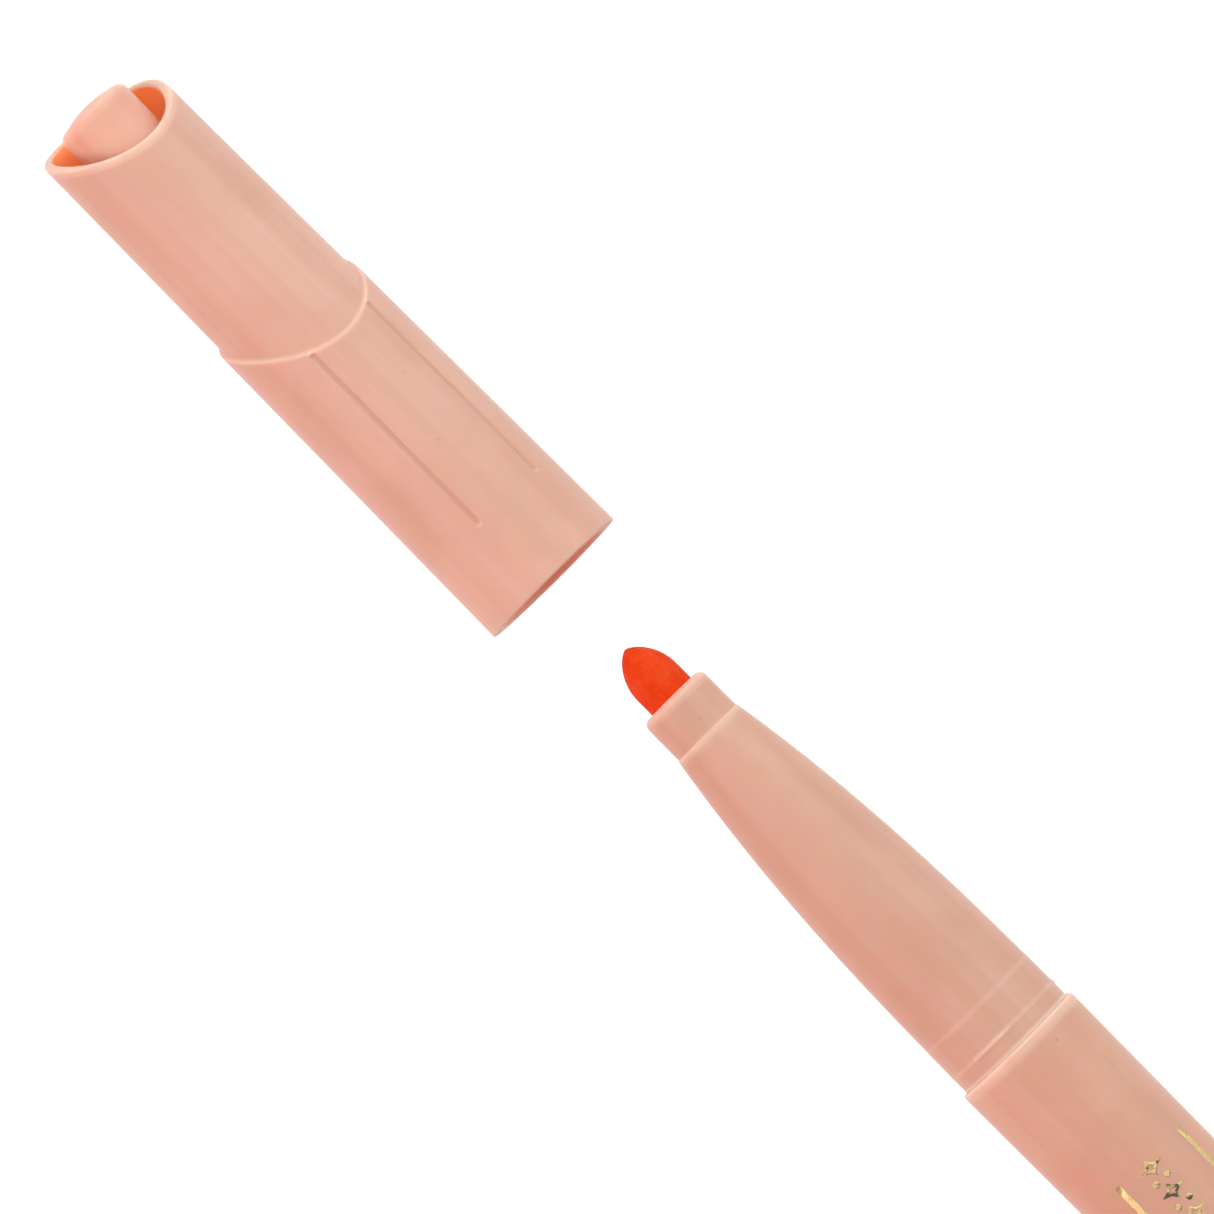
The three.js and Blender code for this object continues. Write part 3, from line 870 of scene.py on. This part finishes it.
def bumped(tree, shader, layers):
    """Stacks bump layers of (height, depth in mm) and feeds the shader's normal."""
    normal = None
    for height, depth in layers:
        sockets = {"Height": height, "Distance": depth * MM, "Strength": 1.0}
        if normal:
            sockets["Normal"] = normal
        normal = add_node(tree, "Bump", sockets).outputs["Normal"]
    feed(tree, normal, shader.inputs["Normal"])


def tinted(colour, share):
    """The same hue, deeper for a share below 1 and paler above it."""
    return tuple(channel ** (1 / share) for channel in colour)


# ---------------------------------------------------------------- materials

# Pale colour of the painted highlight along convex edges, also used for the pale hairline scratches.
PALE_HIGHLIGHT_AND_SCRATCH = (0.74, 0.53, 0.42)
SPECK = (0.30, 0.14, 0.10)
SPECKS_PER_MM = 0.55
STREAK_SHARE = 0.45                     # how strongly each of these shows in the plastic's colour
HAIRLINE_SHARE = 0.12
# Painted shade in the engraved lines: they are darkened by these.
GROOVE_SHADE_SHARE = 0.5
GROOVE_SHADE_DEPTH = (0.88, 0.78, 0.76)       # how much of each channel is left in an engraved line
ALONG_THE_PEN = 0.025                   # stretch that draws flow streaks out along the pen


def specks(tree, offset):
    """A few tiny dust marks: the middles of rare cells."""
    sockets = {"Vector": place_in_mm(tree, offset=offset), "Scale": SPECKS_PER_MM}
    cells = add_node(tree, "TexVoronoi", sockets)
    chance = add_node(tree, "SeparateColor", {"Color": cells.outputs["Color"]}).outputs[0]
    near = remap(tree, cells.outputs["Distance"], 0.02, 0.09, 1.0, 0.0)
    rare = remap(tree, chance, 0.80, 0.95, 0.0, 0.5)
    return scaled(tree, near, rare)


def moulded_plastic(name, colour, offset=0, glow=0.5, painted_glow=0.0):
    """Satin translucent plastic, with a cloudy tint, flow streaks, specks and pale hairline scratches,
    a painted highlight along convex edges and painted shade in engraved lines. painted_glow is an
    emitted glow that paints in the light that comes through a thin wall from its other side."""
    material, tree, shader = new_material(name, {
        "Specular IOR Level": 0.2,
        "IOR": 1.49,
        "Subsurface Weight": glow,
        "Subsurface Radius": (1.0, 0.32, 0.18),
        "Subsurface Scale": 1.4 * MM,
        # The emission is a painted glow, not a lamp.
        "Emission Strength": painted_glow,
    })
    round_place = place_in_mm(tree, offset=offset)
    cloud = remap(tree, noise(tree, round_place, per_mm=0.11, detail=3), 0.35, 0.65)
    drawn_out = place_in_mm(tree, (ALONG_THE_PEN, 1, 1), offset)
    streak = remap(tree, noise(tree, drawn_out, per_mm=0.9, detail=3), 0.4, 0.7)
    grain = noise(tree, round_place, per_mm=7)
    fine_lines = place_in_mm(tree, (0.06, 2.2, 2.2), offset + 5)
    hairline = remap(tree, noise(tree, fine_lines, per_mm=3.2, detail=4, roughness=0.65), 0.66, 0.74)
    tint = blend(tree, cloud, tinted(colour, 0.95), tinted(colour, 1.04))
    tint = blend(tree, scaled(tree, streak, STREAK_SHARE), tint, tinted(colour, 0.91))
    tint = blend(tree, scaled(tree, hairline, HAIRLINE_SHARE), tint, PALE_HIGHLIGHT_AND_SCRATCH)
    tint = blend(tree, specks(tree, offset), tint, SPECK)
    edge = add_node(tree, "Attribute", {}, attribute_name="edge").outputs["Fac"]
    # Painted shade: the engraved lines, marked with a negative edge value, are darkened.
    groove_shade = remap(tree, edge, 0.0, -1.0)
    deeper = tuple(channel * depth for channel, depth in zip(colour, GROOVE_SHADE_DEPTH))
    tint = blend(tree, scaled(tree, groove_shade, GROOVE_SHADE_SHARE), tint, deeper)
    # Painted highlight: convex edges are blended towards the pale colour, in patches.
    highlight_patchiness = remap(tree, noise(tree, round_place, per_mm=0.5, detail=3), 0.25, 0.75, 0.65, 0.9)
    convex = calculate(tree, "MAXIMUM", edge, 0.0)
    tint = blend(tree, scaled(tree, convex, highlight_patchiness), tint, PALE_HIGHLIGHT_AND_SCRATCH)
    feed(tree, tint, shader.inputs["Base Color"])
    feed(tree, tint, shader.inputs["Emission Color"])
    satin = remap(tree, grain, 0.3, 0.7, 0.33, 0.41)
    satin = calculate(tree, "ADD", satin, scaled(tree, cloud, 0.04))
    satin = calculate(tree, "SUBTRACT", satin, scaled(tree, hairline, 0.08))
    feed(tree, satin, shader.inputs["Roughness"])
    bumped(tree, shader, [(streak, 0.004), (grain, 0.003)])
    return material


def nib_felt():
    """Pressed polyester felt, soaked with fluorescent orange ink: fine fibres along the rod."""
    material, tree, shader = new_material("nib_felt", {
        "Specular IOR Level": 0.08,
        "Subsurface Weight": 0.25,
        "Subsurface Radius": (1.0, 0.15, 0.05),
        "Subsurface Scale": 0.5 * MM,
        "Sheen Weight": 0.06,
        "Sheen Roughness": 0.35,
        "Sheen Tint": (1.0, 0.22, 0.42),
    })
    fibre = noise(tree, place_in_mm(tree, (0.18, 1, 1)), per_mm=7, detail=5, roughness=0.7)
    fuzz = noise(tree, place_in_mm(tree), per_mm=16, detail=3, roughness=0.7)
    patches = noise(tree, place_in_mm(tree, (0.6, 1, 1), 3), per_mm=0.7, detail=3)
    wet = remap(tree, patches, 0.4, 0.62)
    strand = remap(tree, fibre, 0.38, 0.66)
    tint = blend(tree, strand, (0.63, 0.038, 0.003), (0.69, 0.054, 0.005))
    tint = blend(tree, scaled(tree, wet, 0.45), tint, (0.74, 0.07, 0.012))
    feed(tree, tint, shader.inputs["Base Color"])
    dry = remap(tree, fuzz, 0.3, 0.7, 0.62, 0.9)
    matt = calculate(tree, "SUBTRACT", dry, scaled(tree, wet, 0.12))
    feed(tree, matt, shader.inputs["Roughness"])
    bumped(tree, shader, [(strand, 0.02), (fuzz, 0.012)])
    return material


def inked_fibre():
    """Bundled fibres of the ink core, darker where they hold more ink."""
    material, tree, shader = new_material("inked_fibre", {
        "Specular IOR Level": 0.3,
        "Sheen Weight": 0.3,
        "Sheen Roughness": 0.5,
    })
    fibre = noise(tree, place_in_mm(tree, (0.05, 1, 1)), per_mm=5, detail=5, roughness=0.7)
    patches = noise(tree, place_in_mm(tree, (0.4, 1, 1), 9), per_mm=0.12, detail=3)
    soaked = remap(tree, patches, 0.35, 0.65)
    tint = blend(tree, remap(tree, fibre, 0.35, 0.65), (0.72, 0.06, 0.012), (0.90, 0.20, 0.08))
    tint = blend(tree, scaled(tree, soaked, 0.6), tint, (0.62, 0.03, 0.006))
    feed(tree, tint, shader.inputs["Base Color"])
    feed(tree, remap(tree, fibre, 0.3, 0.7, 0.7, 0.95), shader.inputs["Roughness"])
    bumped(tree, shader, [(fibre, 0.04)])
    return material


def clear_film():
    """The thin wrapped film round the ink core, slightly creased and ink-stained."""
    material, tree, shader = new_material("clear_film", {
        "Transmission Weight": 0.75,
        "IOR": 1.5,
    })
    crease = noise(tree, place_in_mm(tree, (0.3, 1, 1)), per_mm=0.8, detail=4, roughness=0.6)
    stain = remap(tree, noise(tree, place_in_mm(tree, offset=4), per_mm=0.15, detail=3), 0.45, 0.7)
    tint = blend(tree, stain, (0.93, 0.90, 0.87), (0.92, 0.45, 0.32))
    feed(tree, tint, shader.inputs["Base Color"])
    feed(tree, remap(tree, crease, 0.35, 0.7, 0.15, 0.4), shader.inputs["Roughness"])
    bumped(tree, shader, [(crease, 0.03)])
    return material


def gold_foil(name, dark_reflection_share):
    """Hot-stamped gold foil: a fine slanted hatch, painted glints of highlight, and flecks of painted
    dark reflection. dark_reflection_share is how dark those flecks are."""
    material, tree, shader = new_material(name, {"Metallic": 1.0, "Specular IOR Level": 0.5})
    slanted = place_in_mm(tree, (1, 1, 0.2))
    sockets = {"Vector": slanted, "Scale": 2.2, "Distortion": 1.5, "Detail": 2}
    hatch = add_node(tree, "TexWave", sockets, bands_direction="DIAGONAL").outputs["Fac"]
    painted_glint = noise(tree, place_in_mm(tree), per_mm=6, detail=3, roughness=0.7)
    patches = noise(tree, place_in_mm(tree, offset=2), per_mm=1.5, detail=3, roughness=0.6)
    painted_dark_reflection = remap(tree, patches, 0.54, 0.60)
    tint = blend(tree, remap(tree, hatch, 0.2, 0.8), (0.58, 0.44, 0.19), (0.66, 0.51, 0.24))
    tint = blend(tree, remap(tree, painted_glint, 0.55, 0.72), tint, (0.88, 0.76, 0.48))
    tint = blend(tree, scaled(tree, painted_dark_reflection, dark_reflection_share), tint, (0.05, 0.035, 0.02))
    feed(tree, tint, shader.inputs["Base Color"])
    feed(tree, remap(tree, hatch, 0.2, 0.8, 0.48, 0.6), shader.inputs["Roughness"])
    bumped(tree, shader, [(hatch, 0.0015), (painted_glint, 0.004)])
    return material


# ---------------------------------------------------------------- assembly


def add_piece(piece, body, slot, *materials, node=None):
    for material in materials:
        piece.data.materials.append(material)
    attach(piece, body)
    if node:
        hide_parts(node)


cap_plastic = moulded_plastic("cap_plastic", (0.59, 0.355, 0.27))
# The cap's bore gets a deeper orange, glowing copy of the cap plastic: painted light standing in for
# light through the translucent walls.
cap_bore_glow = moulded_plastic("cap_bore_glow_plastic", (0.90, 0.31, 0.10), glow=0.7, painted_glow=0.12)
# The liner is paler than the cap: painted light, for light that reaches it through the cap's walls.
liner_plastic = moulded_plastic("liner_plastic", (0.67, 0.37, 0.28), offset=13, glow=0.7)
section_plastic = moulded_plastic("section_plastic", (0.555, 0.325, 0.24), offset=31)
barrel_plastic = moulded_plastic("barrel_plastic", (0.58, 0.33, 0.24), offset=57)

shell = cap_shell()
line_bore(shell)
mark_cap_highlight_and_shade(shell)
add_piece(shell, "cap", "body_plastic", cap_plastic, cap_bore_glow, node="cap_shell")
add_piece(cap_liner(), "cap", "liner_plastic", liner_plastic, node="cap_liner")
add_piece(front_section(), "pen", "body_plastic", section_plastic, node="front_section")
add_piece(barrel(), "pen", "body_plastic", barrel_plastic, node="barrel")
add_piece(tail_ribs(), "pen", "body_plastic", barrel_plastic)
add_piece(nib(), "pen", "nib_felt", nib_felt(), node="nib")
add_piece(ink_core(), "pen", "inked_fibre", inked_fibre(), node="ink_core")
add_piece(core_sleeve(), "pen", "clear_film", clear_film(), node="core_sleeve")
add_piece(foil_stripes(), "pen", "gold_foil", gold_foil("stripe_foil", 0.15))
add_piece(foil_ornament(), "pen", "gold_foil", gold_foil("ornament_foil", 0.85))

# ---------------------------------------------------------------- stage and light

FLOOR_GLOW = 0.97                       # an opal table lit from below, so that no shadow shows on it
FLOOR_COLOUR = (0.08, 0.08, 0.08)
FLOOR_SIZE = 3                          # metres
FLOOR_DROP = 0.1                        # just below the pen, so that the two don't share a plane
DOME_DIM = (0.10, 0.09, 0.09)
DOME_NIB_SIDE = (0.5, 0.42, 0.38)
DOME_WARM_SIDE = (2.1, 0.05, 0.04)


def light_table():
    bpy.ops.mesh.primitive_plane_add(size=FLOOR_SIZE, location=(0, 0, -FLOOR_DROP * MM))
    floor = bpy.context.object
    floor.name = "floor"
    opal, _, _ = new_material("floor_opal", {
        "Base Color": FLOOR_COLOUR,
        "Roughness": 0.9,
        "Emission Color": (1, 1, 1),
        "Emission Strength": FLOOR_GLOW,
    })
    floor.data.materials.append(opal)


def softbox(name, place, length, width, power):
    """A lamp that looks at the pen, with its length across the pen. Its place and size are in metres,
    and its power in watts."""
    data = bpy.data.lights.new(name, "AREA")
    data.shape = "RECTANGLE"
    data.size = length
    data.size_y = width
    data.energy = power
    lamp = bpy.data.objects.new(name, data)
    lamp.location = place
    lamp.rotation_mode = "QUATERNION"
    lamp.rotation_quaternion = (-Vector(place)).to_track_quat("-Z", "Y")
    bpy.context.scene.collection.objects.link(lamp)


def studio_dome():
    """Dim light all round, brighter from the nib's side, with a warm glow from the +Y side."""
    world = bpy.data.worlds.new("studio")
    world.use_nodes = True
    tree = world.node_tree
    direction = add_node(tree, "TexCoord", {}).outputs["Generated"]
    sides = add_node(tree, "SeparateXYZ", {"Vector": direction})
    to_nib = remap(tree, sides.outputs["X"], 0.3, 1.0)
    to_warm = remap(tree, sides.outputs["Y"], 0.75, 1.0)
    colour = blend(tree, to_nib, DOME_DIM, DOME_NIB_SIDE)
    colour = blend(tree, to_warm, colour, DOME_WARM_SIDE)
    background = tree.nodes["Background"]
    feed(tree, colour, background.inputs["Color"])
    bpy.context.scene.world = world


light_table()
softbox("key", place=(0.3, 0, 0.8), length=5.2, width=0.36, power=23.5)
softbox("fill", place=(0.12, -0.71, 0.47), length=0.9, width=0.5, power=3.6)
softbox("rim", place=(0.1, 0.6, 0.46), length=0.32, width=0.4, power=1.3)
studio_dome()
bpy.context.scene.view_settings.view_transform = "Standard"

# ---------------------------------------------------------------- camera

# The camera stands over the grip and leans towards the cap, so that the cap's slanted top is at the
# upper left of the picture and the barrel runs out at the lower right.
VIEW_WIDTH = 93.96                      # at the pen's axis
VIEW_DISTANCE = 654                     # above the pen's axis
VIEW_CENTRE = (MOUTH - 4.47, -1.34)
STAND_OVER = MOUTH - 27.04
PICTURE_SLANT = 44.81                   # the pen's slope in the picture, in degrees
SENSOR_WIDTH = 36


def photo_camera():
    data = bpy.data.cameras.new("camera")
    data.sensor_width = SENSOR_WIDTH
    data.lens = SENSOR_WIDTH * VIEW_DISTANCE / VIEW_WIDTH
    data.clip_start = 0.01
    data.clip_end = 10
    camera = bpy.data.objects.new("camera", data)
    bpy.context.scene.collection.objects.link(camera)
    aim = Vector((VIEW_CENTRE[0], VIEW_CENTRE[1], AXIS_HEIGHT)) * MM
    stand = Vector((STAND_OVER, VIEW_CENTRE[1], AXIS_HEIGHT + VIEW_DISTANCE)) * MM
    back = (stand - aim).normalized()
    along_axis = Vector((1, 0, 0))
    to_cap = (along_axis - back * along_axis.dot(back)).normalized()
    sideways = to_cap.cross(back)
    slant = math.radians(PICTURE_SLANT)
    picture_up = to_cap * math.cos(slant) + sideways * math.sin(slant)
    picture_right = picture_up.cross(back)
    camera.matrix_world = Matrix((picture_right, picture_up, back)).transposed().to_4x4()
    camera.location = stand
    bpy.context.scene.camera = camera


photo_camera()
